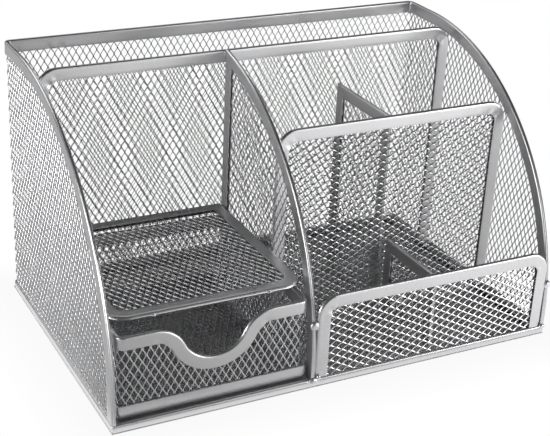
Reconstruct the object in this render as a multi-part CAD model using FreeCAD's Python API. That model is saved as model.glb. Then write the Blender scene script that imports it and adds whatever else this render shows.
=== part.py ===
import FreeCAD, Part
import math
import os

os.makedirs("parts", exist_ok=True)

# Desk organizer of diamond mesh panels with folded strip rims: a letter slot across the back,
# an open shelf over a drawer on the left, and two stepped bays with small partitions on the right.
# Millimetres. X runs to the right, Y to the back, Z up; the origin is under the middle of the base.

# Overall size
width = 220.0
depth = 140.0
height = 127.0

# The side's top edge runs level from the back, then sweeps down to a short upright at the front
sweep_level = 23.0
sweep_upright = 10.0

# Sheet metal
mesh_thickness = 1.0
strip = 0.5
rim_leg = 6.0
edge_gap = 0.4
shell_bend = 3.0

# Diamond openings, drawn several times larger than the fine mesh of the real panels
wall_diamond_long = 56.0
wall_diamond_short = 33.0
panel_diamond_long = 48.0
panel_diamond_short = 28.0
strand = 2.6
selvedge = 2.5
least_opening_share = 0.12

# Base
base_rim_height = 4.0

# Bays, measured between the faces that bound them
letter_slot = 37.0
tall_bay = 50.0
left_bay = 90.7
rear_partition_share = 0.485
front_partition_share = 0.5

# Panels
panel_fit = 0.3
panel_corner = 10.0
panel_drop = 0.5
partition_drop = 1.0
front_panel_height = 38.5
front_setback = 3.0

# Shelf
shelf_gap = 3.2
shelf_tuck = 3.7
shelf_corner = 10.0

# Drawer
drawer_height = 38.5
drawer_corner = 4.0
drawer_side_gap = 1.5
drawer_rear_gap = 1.5
drawer_run_gap = 0.3
floor_gap = 0.2
scoop_half_width = 27.5
scoop_depth = 17.5
scoop_bowl_share = 0.5

# How far a cutting shape runs past what it cuts
overrun = 5.0

# Places that follow from the sizes above
rim_thickness = mesh_thickness + 2 * strip
half_width = width / 2
half_depth = depth / 2
inner_x = half_width - rim_thickness
divider_left = left_bay - inner_x
divider_x = divider_left + rim_thickness / 2
divider_right = divider_left + rim_thickness
inner_back_rear = half_depth - rim_thickness - letter_slot
inner_back_y = inner_back_rear - rim_thickness / 2
inner_back_front = inner_back_rear - rim_thickness
middle_rear = inner_back_front - tall_bay
middle_y = middle_rear - rim_thickness / 2
middle_front = middle_rear - rim_thickness
front_face = front_setback - half_depth
front_y = front_face + rim_thickness / 2
front_rear = front_face + rim_thickness
base_floor = strip + mesh_thickness
drawer_foot = base_rim_height + drawer_run_gap
drawer_top = drawer_foot + drawer_height
shelf_z = drawer_top + shelf_gap + rim_thickness / 2

FACING_X = FreeCAD.Rotation(FreeCAD.Vector(1, 1, 1), 120)
FACING_Y = FreeCAD.Rotation(FreeCAD.Vector(1, 0, 0), 90)
LYING = FreeCAD.Rotation()


def sweep_height(y):
    """Height of the side's outer edge at a distance y from the middle."""
    reach = depth - sweep_level
    share = (half_depth - sweep_level - y) / reach
    return sweep_upright + (height - sweep_upright) * math.sqrt(1 - share * share)


def sweep_front(z):
    """Where the side's outer edge stands at the height z."""
    rise = height - sweep_upright
    share = (z - sweep_upright) / rise
    return half_depth - sweep_level - (depth - sweep_level) * math.sqrt(1 - share * share)


inner_back_top = sweep_height(inner_back_front) - panel_drop
middle_top = sweep_height(middle_front) - panel_drop
front_panel_top = base_rim_height + front_panel_height
shelf_front = sweep_front(shelf_z) + shelf_tuck


# Flat outlines, drawn in a plane of their own

def point(x, y):
    return FreeCAD.Vector(x, y, 0)


def line(a, b):
    return Part.LineSegment(a, b).toShape()


def quarter(start, corner, end):
    """A quarter of a circle or ellipse from start to end, tangent to both sides of the corner."""
    curve = Part.BezierCurve()
    curve.setPoles([start, corner, end])
    curve.setWeight(2, math.sqrt(0.5))
    return curve.toShape()


def rounded(corners):
    """A face whose corners are (x, y, radius), in order round it."""
    ends = []
    for i, (x, y, radius) in enumerate(corners):
        here = point(x, y)
        before = point(*corners[i - 1][:2]) - here
        after = point(*corners[(i + 1) % len(corners)][:2]) - here
        before.normalize()
        after.normalize()
        half_angle = before.getAngle(after) / 2
        reach = radius / math.tan(half_angle)
        inward = (before + after).normalize()
        middle = here + inward * (radius / math.sin(half_angle) - radius)
        ends.append((here + before * reach, middle, here + after * reach, radius))
    edges = []
    for i, (start, middle, end, radius) in enumerate(ends):
        edges.append(line(ends[i - 1][2], start))
        if radius > 0:
            edges.append(Part.Arc(start, middle, end).toShape())
    return Part.Face(Part.Wire(edges))


def box_outline(left, right, front, back, radius_front, radius_back):
    """A plate rimmed all round: outline(inset) draws it in from every side."""
    def outline(inset, past=0):
        small = max(radius_front - inset, 0)
        other = max(radius_back - inset, 0)
        return rounded([
            (left + inset, front + inset, small),
            (right - inset, front + inset, small),
            (right - inset, back - inset, other),
            (left + inset, back - inset, other),
        ])
    return outline


def arch_outline(left, right, foot, top, radius):
    """A panel rimmed at its top and sides: past runs its open foot further down."""
    def outline(inset, past=0):
        corner = max(radius - inset, 0)
        return rounded([
            (left + inset, foot - past, 0),
            (right - inset, foot - past, 0),
            (right - inset, top - inset, corner),
            (left + inset, top - inset, corner),
        ])
    return outline


def sweep_outline(rear, foot, rimmed_rear):
    """A side under the sweep: its foot is open, and its rear too unless it is rimmed."""
    level = half_depth - sweep_level

    def outline(inset, past=0):
        back = rear - inset if rimmed_rear else rear + past
        top = height - inset
        front = inset - half_depth
        low = foot - past
        far = max(back, level + overrun)
        whole = Part.Face(Part.Wire([
            line(point(front, low), point(far, low)),
            line(point(far, low), point(far, top)),
            line(point(far, top), point(level, top)),
            quarter(point(level, top), point(front, top), point(front, sweep_upright)),
            line(point(front, sweep_upright), point(front, low)),
        ]))
        if far == back:
            return whole
        keep = Part.makePlane(back - front + overrun, 2 * height, point(front - overrun, -height / 2))
        return whole.common(keep).Faces[0]
    return outline


def scoop_outline(half, foot, top):
    """The drawer's front: level shoulders that dip in two S curves to a finger scoop."""
    angle = 2 * math.atan(scoop_depth / scoop_half_width)
    both = scoop_half_width / math.sin(angle)
    bowl = both * scoop_bowl_share
    shoulder = both - bowl

    def outline(inset, past=0):
        high = top - inset
        small = shoulder - inset
        large = bowl + inset
        bowl_z = top - scoop_depth + bowl
        shoulder_z = top - shoulder
        turn_x = large * math.sin(angle)
        turn_z = bowl_z - large * math.cos(angle)
        mid_x = scoop_half_width - small * math.sin(angle / 2)
        mid_z = shoulder_z + small * math.cos(angle / 2)
        side = half + past
        low = foot - past
        return Part.Face(Part.Wire([
            line(point(-side, low), point(side, low)),
            line(point(side, low), point(side, high)),
            line(point(side, high), point(scoop_half_width, high)),
            Part.Arc(point(scoop_half_width, high), point(mid_x, mid_z), point(turn_x, turn_z)).toShape(),
            Part.Arc(point(turn_x, turn_z), point(0, bowl_z - large), point(-turn_x, turn_z)).toShape(),
            Part.Arc(point(-turn_x, turn_z), point(-mid_x, mid_z), point(-scoop_half_width, high)).toShape(),
            line(point(-scoop_half_width, high), point(-side, high)),
            line(point(-side, high), point(-side, low)),
        ]))
    return outline


# Sheet and strip made from an outline

def slab(face, thickness):
    """A face made solid, half its thickness on either side of its plane."""
    return face.translated(FreeCAD.Vector(0, 0, -thickness / 2)).extrude(FreeCAD.Vector(0, 0, thickness))


def folded_rim(outline):
    """A strip folded over the sheet's edge: two legs and a web along every rimmed side."""
    window = outline(rim_leg, overrun)
    body = slab(outline(0), rim_thickness)
    through = slab(window, rim_thickness + 2 * overrun)
    slot = slab(outline(strip, overrun), mesh_thickness)
    return body.cut([through, slot])


def diamond(x, y, across, up):
    """The opening of one mesh cell, drawn in by half a strand on every side."""
    apart = across * up / math.hypot(across, up)
    share = 1 - strand / apart
    half_across = across * share / 2
    half_up = up * share / 2
    left = point(x - half_across, y)
    right = point(x + half_across, y)
    return Part.makePolygon([left, point(x, y - half_up), right, point(x, y + half_up), left])


def diamond_mesh(sheet, region, across, up):
    """The sheet with staggered diamonds, in whole cells that fill the region from edge to edge."""
    span = region.BoundBox
    columns = max(round(span.XLength / across), 1)
    rows = max(round(span.YLength / up), 1)
    across = span.XLength / columns
    up = span.YLength / rows
    whole = Part.Face(diamond(0, 0, across, up)).Area
    wires = []
    for row in range(2 * rows + 1):
        for column in range(columns + 1):
            x = span.XMin + (column + (row % 2) / 2) * across
            y = span.YMin + row * up / 2
            cell = diamond(x, y, across, up)
            if all(region.isInside(corner.Point, edge_gap, True) for corner in cell.Vertexes):
                wires.append(cell)
                continue
            pieces = Part.Face(cell).common(region).Faces
            wires += [piece.OuterWire for piece in pieces if piece.Area > whole * least_opening_share]
    return Part.makeFace([sheet.OuterWire] + wires, "Part::FaceMakerBullseye")


def mesh_sheet(outline, across, up):
    """The mesh that sits in a folded rim, reaching nearly to the fold."""
    sheet = outline(strip + edge_gap)
    return slab(diamond_mesh(sheet, outline(rim_leg, -selvedge), across, up), mesh_thickness)


def place(shape, rotation, x=0, y=0, z=0):
    placed = shape.copy()
    placed.Placement = FreeCAD.Placement(FreeCAD.Vector(x, y, z), rotation)
    return placed


def save(node, shape):
    solids = shape.Solids
    if len(solids) != 1 or not shape.isValid():
        print("check", node, len(solids), "solids, valid", shape.isValid())
    shape.exportStep("parts/" + node + ".step")


def keep_box(low, high):
    """A block between two corners."""
    size = [b - a for a, b in zip(low, high)]
    return Part.makeBox(*size, FreeCAD.Vector(*low))


def upright(face, low, high):
    """A plan face made solid from one height to another."""
    return face.translated(FreeCAD.Vector(0, 0, low)).extrude(FreeCAD.Vector(0, 0, high - low))


def band(outline, inset, inner, low, high):
    """An upright wall that follows a plan outline, from one inset to another."""
    return upright(outline(inset), low, high).cut(upright(outline(inner), low, high))


def top_channel(outline, high):
    """A folded rim along the level top of a wall that follows a plan outline."""
    low = high - rim_leg
    body = band(outline, 0, rim_thickness, low, high)
    return body.cut(band(outline, strip, strip + mesh_thickness, low, high - strip))


# Outer shell

shell_plan = box_outline(-half_width, half_width, -half_depth, half_depth, 0, shell_bend)
shell_turn = half_depth - shell_bend


def base():
    """A mesh floor whose edge lies in a folded rim with a high outer face."""
    rim = upright(shell_plan(0), 0, base_rim_height)
    through = upright(shell_plan(rim_leg), -overrun, base_rim_height + overrun)
    slot = upright(shell_plan(strip), strip, base_rim_height - strip)
    save("base_rim", rim.cut([through, slot]))
    sheet = mesh_sheet(shell_plan, wall_diamond_long, wall_diamond_short)
    save("base_mesh", place(sheet, LYING, z=strip + mesh_thickness / 2))


def side(node, x):
    """One side of the shell: mesh under the sweep, and the rim that follows its edge."""
    outline = sweep_outline(shell_turn, base_rim_height, False)
    save(node + "_rim", place(folded_rim(outline), FACING_X, x))
    save(node + "_mesh", place(mesh_sheet(outline, wall_diamond_short, wall_diamond_long), FACING_X, x))


def back():
    """The back wall: its mesh and top rim turn round both rear corners to meet the sides."""
    turn_x = half_width - shell_bend
    behind = keep_box((-width, shell_turn, 0), (width, depth, 2 * height))
    corners = keep_box((-turn_x, 0, 0), (turn_x, depth, 2 * height))
    top = height - strip - edge_gap
    wall = band(shell_plan, strip, strip + mesh_thickness, base_rim_height, top)
    bends = wall.common(behind).cut(corners)
    sheet = rounded([
        (-turn_x, base_rim_height, 0), (turn_x, base_rim_height, 0), (turn_x, top, 0), (-turn_x, top, 0)])
    reach = turn_x - selvedge
    low = base_rim_height + selvedge
    high = height - rim_leg
    region = rounded([(-reach, low, 0), (reach, low, 0), (reach, high, 0), (-reach, high, 0)])
    flat = slab(diamond_mesh(sheet, region, wall_diamond_short, wall_diamond_long), mesh_thickness)
    flat = place(flat, FACING_Y, y=half_depth - rim_thickness / 2)
    save("back_mesh", flat.fuse(bends).removeSplitter())
    save("back_top_rim", top_channel(shell_plan, height).common(behind))


# Panels inside the shell

def panel(node, outline, rotation, across, up, x=0, y=0, z=0):
    """A mesh sheet and the rim folded over its edge, as two pieces."""
    save(node + "_frame", place(folded_rim(outline), rotation, x, y, z))
    save(node + "_mesh", place(mesh_sheet(outline, across, up), rotation, x, y, z))


def inner_back():
    reach = inner_x - panel_fit
    outline = arch_outline(-reach, reach, base_rim_height, inner_back_top, panel_corner)
    panel("inner_back", outline, FACING_Y, wall_diamond_short, wall_diamond_long, y=inner_back_y)


def divider():
    outline = sweep_outline(inner_back_front - panel_fit, base_rim_height, True)
    panel("divider", outline, FACING_X, panel_diamond_short, panel_diamond_long, x=divider_x)


def cross_panel(node, top, y):
    outline = arch_outline(divider_right + panel_fit, inner_x - panel_fit, base_rim_height, top, panel_corner)
    panel(node, outline, FACING_Y, panel_diamond_long, panel_diamond_short, y=y)


def partition(node, front, rear, foot, top, share):
    """A low wall between two cross panels, with a rim at its top and both ends."""
    outline = arch_outline(front + panel_fit, rear - panel_fit, foot, top - partition_drop, 0)
    bay = inner_x - divider_right
    panel(node, outline, FACING_X, panel_diamond_short, panel_diamond_long, x=divider_right + bay * share)


def shelf():
    outline = box_outline(
        panel_fit - inner_x, divider_left - panel_fit, shelf_front, inner_back_front - panel_fit,
        shelf_corner, 0)
    panel("shelf", outline, LYING, panel_diamond_long, panel_diamond_short, z=shelf_z)


# Drawer

drawer_left = drawer_side_gap - inner_x
drawer_right = divider_left - drawer_side_gap
drawer_rear = inner_back_front - drawer_rear_gap
drawer_middle = (drawer_left + drawer_right) / 2
drawer_plan = box_outline(drawer_left, drawer_right, front_face, drawer_rear, drawer_corner, drawer_corner)
turn_left = drawer_left + drawer_corner
turn_right = drawer_right - drawer_corner
turn_front = front_face + drawer_corner
turn_rear = drawer_rear - drawer_corner
wall_low = drawer_foot + strip
wall_high = drawer_top - strip - edge_gap
scoop = scoop_outline((turn_right - turn_left) / 2, wall_low, drawer_top)


def stretch(left, right, front, rear):
    """A block as high as the drawer and more, to keep or cut a stretch of its walls."""
    return keep_box((left, front, 0), (right, rear, drawer_top + overrun))


front_stretch = stretch(drawer_left - overrun, drawer_right + overrun, front_face - overrun, turn_front)
front_flat = stretch(turn_left, turn_right, front_face - overrun, turn_front)
rear_stretch = stretch(drawer_left - overrun, drawer_right + overrun, turn_rear, drawer_rear + overrun)
rear_flat = stretch(turn_left, turn_right, turn_rear, drawer_rear + overrun)
left_stretch = stretch(drawer_left - overrun, turn_left, turn_front, turn_rear)
right_stretch = stretch(turn_right, drawer_right + overrun, turn_front, turn_rear)


def drawer_rims():
    """Rims along the top of the walls: the front's dips with the scoop and turns both corners."""
    rims = top_channel(drawer_plan, drawer_top)
    bends = rims.common(front_stretch).cut(front_flat)
    scooped = place(folded_rim(scoop), FACING_Y, drawer_middle, front_y)
    save("drawer_front_rim", scooped.fuse(bends).removeSplitter())
    save("drawer_left_rim", rims.common(left_stretch))
    save("drawer_right_rim", rims.common(right_stretch))
    save("drawer_rear_rim", rims.common(rear_stretch))


def drawer_walls():
    """Four mesh walls: the front and rear ones turn round the corners to meet the sides."""
    bends = band(drawer_plan, strip, strip + mesh_thickness, wall_low, wall_high)
    front_bends = bends.common(front_stretch).cut(front_flat)
    rear_bends = bends.common(rear_stretch).cut(rear_flat)
    region = scoop(rim_leg, -rim_leg)
    front = diamond_mesh(scoop(strip + edge_gap), region, panel_diamond_short, panel_diamond_long)
    front = place(slab(front, mesh_thickness), FACING_Y, drawer_middle, front_y)
    rear = place(flat_wall(turn_left, turn_right), FACING_Y, y=drawer_rear - rim_thickness / 2)
    flank = flat_wall(turn_front, turn_rear)
    save("drawer_front_mesh", front.fuse(front_bends).removeSplitter())
    save("drawer_rear_mesh", rear.fuse(rear_bends).removeSplitter())
    save("drawer_left_mesh", place(flank, FACING_X, x=drawer_left + rim_thickness / 2))
    save("drawer_right_mesh", place(flank, FACING_X, x=drawer_right - rim_thickness / 2))


def flat_wall(start, end):
    """A straight drawer wall, with openings between its foot strip and its top rim."""
    low = drawer_foot + rim_leg
    high = drawer_top - rim_leg
    sheet = rounded([(start, wall_low, 0), (end, wall_low, 0), (end, wall_high, 0), (start, wall_high, 0)])
    start += selvedge
    end -= selvedge
    region = rounded([(start, low, 0), (end, low, 0), (end, high, 0), (start, high, 0)])
    return slab(diamond_mesh(sheet, region, panel_diamond_short, panel_diamond_long), mesh_thickness)


def drawer_base():
    """The mesh floor lies on a strip that is folded up round the foot of the walls."""
    outer_leg = band(drawer_plan, 0, strip, drawer_foot, drawer_foot + rim_leg)
    lower_leg = band(drawer_plan, 0, rim_leg, drawer_foot, wall_low)
    save("drawer_foot_rim", outer_leg.fuse(lower_leg).removeSplitter())
    sheet = drawer_plan(strip + mesh_thickness + floor_gap)
    floor = diamond_mesh(sheet, drawer_plan(rim_leg), panel_diamond_long, panel_diamond_short)
    save("drawer_floor_mesh", place(slab(floor, mesh_thickness), LYING, z=wall_low + mesh_thickness / 2))


base()
side("left_side", rim_thickness / 2 - half_width)
side("right_side", half_width - rim_thickness / 2)
back()
inner_back()
divider()
cross_panel("middle_panel", middle_top, middle_y)
cross_panel("front_panel", front_panel_top, front_y)
partition("rear_partition", middle_rear, inner_back_front, base_floor, middle_top,
          rear_partition_share)
partition("front_partition", front_rear, middle_front, base_rim_height, front_panel_top,
          front_partition_share)
shelf()
drawer_rims()
drawer_walls()
drawer_base()
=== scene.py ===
# %% [markdown]
# # A desk organizer of expanded metal, with a drawer
# The real object is a set of diamond-mesh sheets, each with a folded steel strip along its edge,
# welded into a box of bays, with a loose drawer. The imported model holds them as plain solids,
# without folds or twisted strands. So each keeps its place and is dressed here with a finer mesh,
# worked out from points and faces.

import math

import bmesh
import bpy
import numpy as np
from mathutils import Matrix, Vector


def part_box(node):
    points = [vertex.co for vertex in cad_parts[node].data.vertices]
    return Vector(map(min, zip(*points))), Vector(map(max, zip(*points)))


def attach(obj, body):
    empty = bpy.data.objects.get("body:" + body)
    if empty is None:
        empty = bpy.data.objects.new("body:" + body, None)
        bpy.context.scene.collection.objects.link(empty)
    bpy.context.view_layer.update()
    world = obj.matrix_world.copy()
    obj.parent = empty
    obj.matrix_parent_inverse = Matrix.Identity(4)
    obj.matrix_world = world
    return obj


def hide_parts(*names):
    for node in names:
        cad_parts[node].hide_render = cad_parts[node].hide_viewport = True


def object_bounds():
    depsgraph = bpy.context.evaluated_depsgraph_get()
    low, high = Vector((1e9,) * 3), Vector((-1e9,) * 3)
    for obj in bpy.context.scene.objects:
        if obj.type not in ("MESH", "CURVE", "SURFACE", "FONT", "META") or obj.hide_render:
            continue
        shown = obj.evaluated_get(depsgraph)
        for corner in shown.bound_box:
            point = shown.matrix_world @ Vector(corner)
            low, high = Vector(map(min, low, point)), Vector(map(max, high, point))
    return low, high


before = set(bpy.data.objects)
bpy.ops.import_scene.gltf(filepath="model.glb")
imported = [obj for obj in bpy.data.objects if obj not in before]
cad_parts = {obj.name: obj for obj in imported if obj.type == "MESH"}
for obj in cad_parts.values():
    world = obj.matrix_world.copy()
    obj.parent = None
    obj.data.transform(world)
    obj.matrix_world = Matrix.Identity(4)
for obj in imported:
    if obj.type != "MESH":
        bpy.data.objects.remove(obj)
cad_low, cad_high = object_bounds()
MM = 0.001

# %% [markdown]
# ## Sizes
# A strip is half-millimetre steel, folded to 2 mm thick and 6 mm wide. Every length could be typed
# in, but a change to the solids would then leave the dress behind. So places are read from the
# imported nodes' boxes, and only what a box can't tell, such as a corner's radius, is written here.

# %% Sizes
half_width = cad_high.x
half_depth = cad_high.y
height = cad_high.z
LEG = 6.0 * MM
THICK = 2.0 * MM
STRIP = 0.5 * MM
SWEEP_LEVEL = 23.0 * MM
SWEEP_UPRIGHT = 10.0 * MM
SHELL_BEND = 3.0 * MM
PANEL_CORNER = 10.0 * MM
sweep_radius = 2 * half_depth - SWEEP_LEVEL
print("width, depth, height in mm:",
      [round(v / MM, 1) for v in (2 * half_width, 2 * half_depth, height)])

# %% [markdown]
# ## The camera
# The photograph was taken from the front left, from above, with a long lens. A camera could be
# turned by eye until the picture agrees. Here it was solved from the corners of the object, which
# also gives the small roll that an eye would miss.

# %% Camera
AZIMUTH = math.radians(27.99)
ELEVATION = math.radians(24.99)
ROLL = math.radians(2.88)
DISTANCE = 609.9 * MM
AIM_HEIGHT = 60.0 * MM
AIM_RIGHT = -1.99 * MM
AIM_UP = -9.92 * MM
FOCAL_PIXELS = 1296.7
PICTURE_WIDTH = 550
SENSOR = 36.0


def make_camera():
    """A camera that looks along the solved direction, rolled as the photograph is."""
    flat = math.cos(ELEVATION)
    ahead = Vector((math.sin(AZIMUTH) * flat, math.cos(AZIMUTH) * flat, -math.sin(ELEVATION)))
    across = ahead.cross(Vector((0, 0, 1))).normalized()
    above = across.cross(ahead)
    right = across * math.cos(ROLL) + above * math.sin(ROLL)
    up = above * math.cos(ROLL) - across * math.sin(ROLL)
    target = Vector((0, 0, AIM_HEIGHT)) + across * AIM_RIGHT + above * AIM_UP
    data = bpy.data.cameras.new("camera")
    data.sensor_width = SENSOR
    data.lens = FOCAL_PIXELS * SENSOR / PICTURE_WIDTH
    camera = bpy.data.objects.new("camera", data)
    camera.matrix_world = Matrix((right, up, -ahead)).transposed().to_4x4()
    camera.location = target - ahead * DISTANCE
    bpy.context.scene.collection.objects.link(camera)
    bpy.context.scene.camera = camera
    print("camera at", [round(v, 3) for v in camera.location], "lens", round(data.lens, 1))


make_camera()

# %% [markdown]
# ## Shader sums
# A finish is a tree of nodes, which could be joined link by link, but that hides the sum that they
# make. So an output is wrapped in a small class, and shader maths reads like arithmetic: a minus
# sign adds the Math node that subtracts.

# %% Sockets


class Socket:
    """An output of a node that can stand in a sum."""

    def __init__(self, finish, link):
        self.finish = finish
        self.link = link

    def __add__(self, other):
        return self.finish.math("ADD", self, other)

    def __sub__(self, other):
        return self.finish.math("SUBTRACT", self, other)

    def __rsub__(self, other):
        return self.finish.math("SUBTRACT", other, self)

    def __mul__(self, other):
        return self.finish.math("MULTIPLY", self, other)

    __radd__ = __add__
    __rmul__ = __mul__


print("a socket adds, subtracts and multiplies")

# %% [markdown]
# Every other node comes from one method. It sets the node's settings first, because some of them
# change which sockets the node has, and then its sockets. A ramp here has two grey stops.

# %% The node helper


class Finish:
    """The nodes of a material, or of the world, while they are being joined."""

    def __init__(self, owner):
        self.owner = owner
        owner.use_nodes = True
        self.tree = owner.node_tree
        self.tree.nodes.clear()

    def node(self, kind, settings=None, sockets=None, output=0):
        """A new node with its settings and then its sockets; gives one of its outputs."""
        made = self.tree.nodes.new(kind)
        for key, value in (settings or {}).items():
            if key != "stops":
                setattr(made, key, value)
                continue
            for stop, (place, shade) in zip(made.color_ramp.elements, value):
                stop.position = place
                stop.color = (shade, shade, shade, 1.0)
        for key, value in (sockets or {}).items():
            if isinstance(value, Socket):
                self.tree.links.new(value.link, made.inputs[key])
            else:
                made.inputs[key].default_value = value
        return Socket(self, made.outputs[output]) if made.outputs else None

    def math(self, operation, first, second=0.0):
        return self.node("ShaderNodeMath", {"operation": operation}, {0: first, 1: second})

    def blend(self, factor, first, second):
        """A colour between two colours. The Mix node's colour is its third output."""
        return self.node("ShaderNodeMix", {"data_type": "RGBA"},
                         {"Factor": factor, "A": first, "B": second}, 2)

    def grain(self, place, scale, detail):
        """Soft noise over the surface, from 0 to 1."""
        return self.node("ShaderNodeTexNoise", None,
                         {"Vector": place, "Scale": scale, "Detail": detail, "Roughness": 0.5})


print("node helper ready")

# %% [markdown]
# ## Silver paint
# The steel is sprayed with a satin silver paint: metal flake, a fine orange-peel skin, and small
# shifts of tone where the coat is thick or thin. A plain grey metal would do from afar, but looks
# like plastic close up, so three noises drive the tone, the gloss and the skin. The paint is
# glossier on the mesh than on the strips, and duller on the welds. Its greys also hold painted
# light and shade: they are darker on the mesh, as painted shade for the shaded sides of the thin
# strands, and lighter on the welds, as painted light that makes the beads look bright.

# %% Paint
CLOUD_SCALE, CLOUD_DETAIL = 45.0, 3.0
FLAKE_SCALE, FLAKE_DETAIL = 2000.0, 1.0
PEEL_SCALE, PEEL_DETAIL = 900.0, 2.0
CLOUD_TONE, FLAKE_TONE, TONE_BASE = 0.6, 1.3, 0.2
CLOUD_GLOSS, FLAKE_GLOSS = 0.16, 0.1
PEEL_SHARE, FLAKE_SHARE = 0.7, 0.3
SKIN_DEPTH = 0.1 * MM
METAL = 0.85
BLUE_TINT = 0.01


def silver(level):
    """A grey with a touch of blue."""
    return (level, level, level + BLUE_TINT, 1)


def silver_paint(name, light, dark, roughness, skin):
    """Satin silver paint between two greys. Tone, gloss and fine skin vary over the surface."""
    paint = Finish(bpy.data.materials.new(name))
    place = paint.node("ShaderNodeTexCoord", output="Object")
    cloud = paint.grain(place, CLOUD_SCALE, CLOUD_DETAIL)
    flake = paint.grain(place, FLAKE_SCALE, FLAKE_DETAIL)
    peel = paint.grain(place, PEEL_SCALE, PEEL_DETAIL)
    tone = cloud * CLOUD_TONE + (flake - 0.5) * FLAKE_TONE + TONE_BASE
    colour = paint.blend(tone, silver(dark), silver(light))
    gloss = roughness + (cloud - 0.5) * CLOUD_GLOSS + (flake - 0.5) * FLAKE_GLOSS
    bump = paint.node("ShaderNodeBump", None, {
        "Strength": skin, "Distance": SKIN_DEPTH,
        "Height": peel * PEEL_SHARE + flake * FLAKE_SHARE})
    shader = paint.node("ShaderNodeBsdfPrincipled", None, {
        "Base Color": colour, "Metallic": METAL, "Roughness": gloss, "Normal": bump})
    paint.node("ShaderNodeOutputMaterial", None, {"Surface": shader})
    return paint.owner


strip_paint = silver_paint("strip_paint", light=0.74, dark=0.60, roughness=0.31, skin=0.60)
# The mesh's greys are darker than the strips': painted shade for the shaded sides of its thin
# strands.
mesh_paint_painted_shade = silver_paint("mesh_paint_painted_shade", light=0.67, dark=0.51, roughness=0.26, skin=0.35)
# The welds' greys are lighter than the strips': painted light, so that the beads look bright.
weld_paint_painted_light = silver_paint("weld_paint_painted_light", light=0.80, dark=0.64, roughness=0.40, skin=0.60)
print("paints", [paint.name for paint in (strip_paint, mesh_paint_painted_shade, weld_paint_painted_light)])

# %% [markdown]
# ## Making pieces
# The drawer moves and the rest stands still. So a piece rides on its body: it is parented to an
# empty named after the body, which is made when first needed. It stands for the imported nodes
# that it replaces, which are hidden. A weld is too small to be a imported node and replaces none.

# %% Piece helpers
SHARP = math.radians(35)


def wear(name, data, paint, body, nodes=()):
    """The piece made of this mesh: painted, riding on its body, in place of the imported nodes."""
    data.materials.append(paint)
    piece = bpy.data.objects.new(name, data)
    bpy.context.scene.collection.objects.link(piece)
    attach(piece, body)
    if nodes:
        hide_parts(*nodes)
    print(name, len(data.vertices), "points", len(data.polygons), "faces")
    return piece


def make_piece(name, points, faces, paint, body, nodes, sharp=True):
    """A piece from its points and faces, with its normals turned outwards."""
    data = bpy.data.meshes.new(name)
    data.from_pydata(points.tolist(), [], faces)
    shape = bmesh.new()
    shape.from_mesh(data)
    bmesh.ops.recalc_face_normals(shape, faces=shape.faces)
    shape.to_mesh(data)
    shape.free()
    data.polygons.foreach_set("use_smooth", [True] * len(data.polygons))
    if sharp:
        data.set_sharp_from_angle(angle=SHARP)
    return wear(name, data, paint, body, nodes)


print("edges over", round(math.degrees(SHARP)), "degrees stay sharp")

# %% [markdown]
# ## Sheets as flat drawings
# Every sheet starts flat. It could be modelled where it stands, but a flat drawing is simpler: u
# runs along the sheet, v up it and w through it, and a small function places it.

# %% Placing a flat drawing


def across_at(y):
    """A drawing that stands across the width."""
    return lambda u, v, w: np.stack([u, y + w, v], -1)


def along_at(x):
    """A drawing that stands along the depth."""
    return lambda u, v, w: np.stack([x + w, u, v], -1)


def lying_at(z):
    """A drawing that lies flat. Its w may be one number for all points."""
    return lambda u, v, w: np.stack(np.broadcast_arrays(u, v, z + w), -1)


print("drawings can stand across, stand along or lie flat")

# %% [markdown]
# The outer shell and the drawer's wall are single sheets, bent round upright corners. A modifier
# could bend them, one corner at a time. Here the drawing is rolled along a path of straight runs
# and quarter bends, so mesh and strip turn the corner together.

# %% Rolling a drawing round corners


class Wall:
    """An upright wall along a plan path of straight runs and quarter bends to the right."""

    def __init__(self, start, heading):
        self.runs = []
        self.at = np.array(start, float)
        self.heading = heading
        self.length = 0.0

    def straight(self, length):
        self.runs.append((self.length, length, self.at.copy(), self.heading, None))
        self.at += length * np.array([math.cos(self.heading), math.sin(self.heading)])
        self.length += length
        return self

    def bend(self, radius):
        """A quarter turn to the right round a centre on the right-hand side."""
        centre = self.at + radius * np.array([math.sin(self.heading), -math.cos(self.heading)])
        self.runs.append((self.length, radius * math.pi / 2, centre, self.heading, radius))
        self.heading -= math.pi / 2
        self.at = centre + radius * np.array([-math.sin(self.heading), math.cos(self.heading)])
        self.length += radius * math.pi / 2
        return self

    def place(self, u, v, w):
        """Points of the drawing in space: w is outwards, on the left of the path."""
        u, v, w = np.broadcast_arrays(u, v, w)
        out = np.zeros(u.shape + (3,))
        for i, (start, length, origin, heading, radius) in enumerate(self.runs):
            first, last = i == 0, i == len(self.runs) - 1
            inside = ((u >= start) | first) & ((u < start + length) | last)
            s = u[inside] - start
            if radius is None:
                x = origin[0] + s * math.cos(heading) - w[inside] * math.sin(heading)
                y = origin[1] + s * math.sin(heading) + w[inside] * math.cos(heading)
            else:
                turn = heading - s / radius
                x = origin[0] - (radius + w[inside]) * np.sin(turn)
                y = origin[1] + (radius + w[inside]) * np.cos(turn)
            out[inside] = np.stack([x, y, v[inside]], -1)
        return out


shell_wall = Wall((-half_width + THICK / 2, -half_depth), math.pi / 2)
shell_wall.straight(2 * half_depth - SHELL_BEND).bend(SHELL_BEND - THICK / 2)
shell_wall.straight(2 * (half_width - SHELL_BEND)).bend(SHELL_BEND - THICK / 2)
shell_wall.straight(2 * half_depth - SHELL_BEND)
print("shell sheet", round(shell_wall.length / MM, 1), "mm long")

# %% [markdown]
# ## Outlines
# The edge of a sheet guides its strip and the cut of its mesh. A curve object could do that, but
# the strip needs the edge drawn further and further in. So an outline is a function:
# `outline(inset)` gives the same number of points at any inset from the edge.

# %% Lines and arcs
STEP = 4.0 * MM
FINE = 0.6 * MM
ARC_STEPS = 14
BEND_STEPS = 8


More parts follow.
